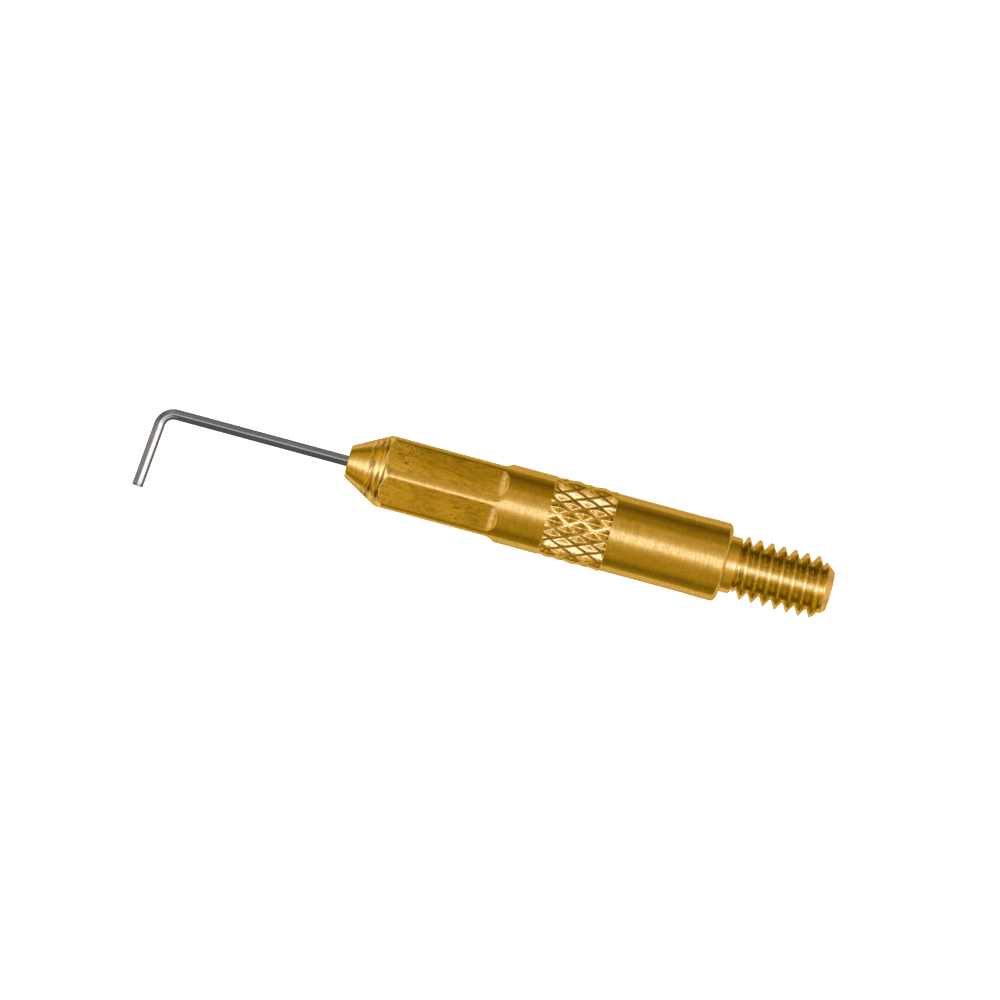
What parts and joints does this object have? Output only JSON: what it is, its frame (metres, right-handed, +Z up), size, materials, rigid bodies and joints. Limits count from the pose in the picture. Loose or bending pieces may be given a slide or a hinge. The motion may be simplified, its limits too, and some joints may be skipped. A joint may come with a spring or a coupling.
{
  "type": "screw-in hook tool head",
  "caption": "Brass tool head for watch bracelets and straps: knurled holder with a threaded stud and a bent hexagonal steel hook.",
  "frame": {"origin": "on the tool axis, in the plane of the shoulder seat where the threaded stud begins", "axes": "+X along the tool axis towards the threaded end, -Y the way the hook points, +Z up with the hook lying flat"},
  "size_m": [0.0458, 0.0079, 0.0054],
  "materials": {
    "turned_brass": "turned and milled brass with fine tool marks, a rolled diamond knurl and a bright thread",
    "key_steel": "drawn hexagonal steel wire, dark grey with drawing lines and a bright cut tip"
  },
  "bodies": {
    "root": {"brass_holder": "turned_brass", "hook_pin": "key_steel"}
  },
  "joints": []
}
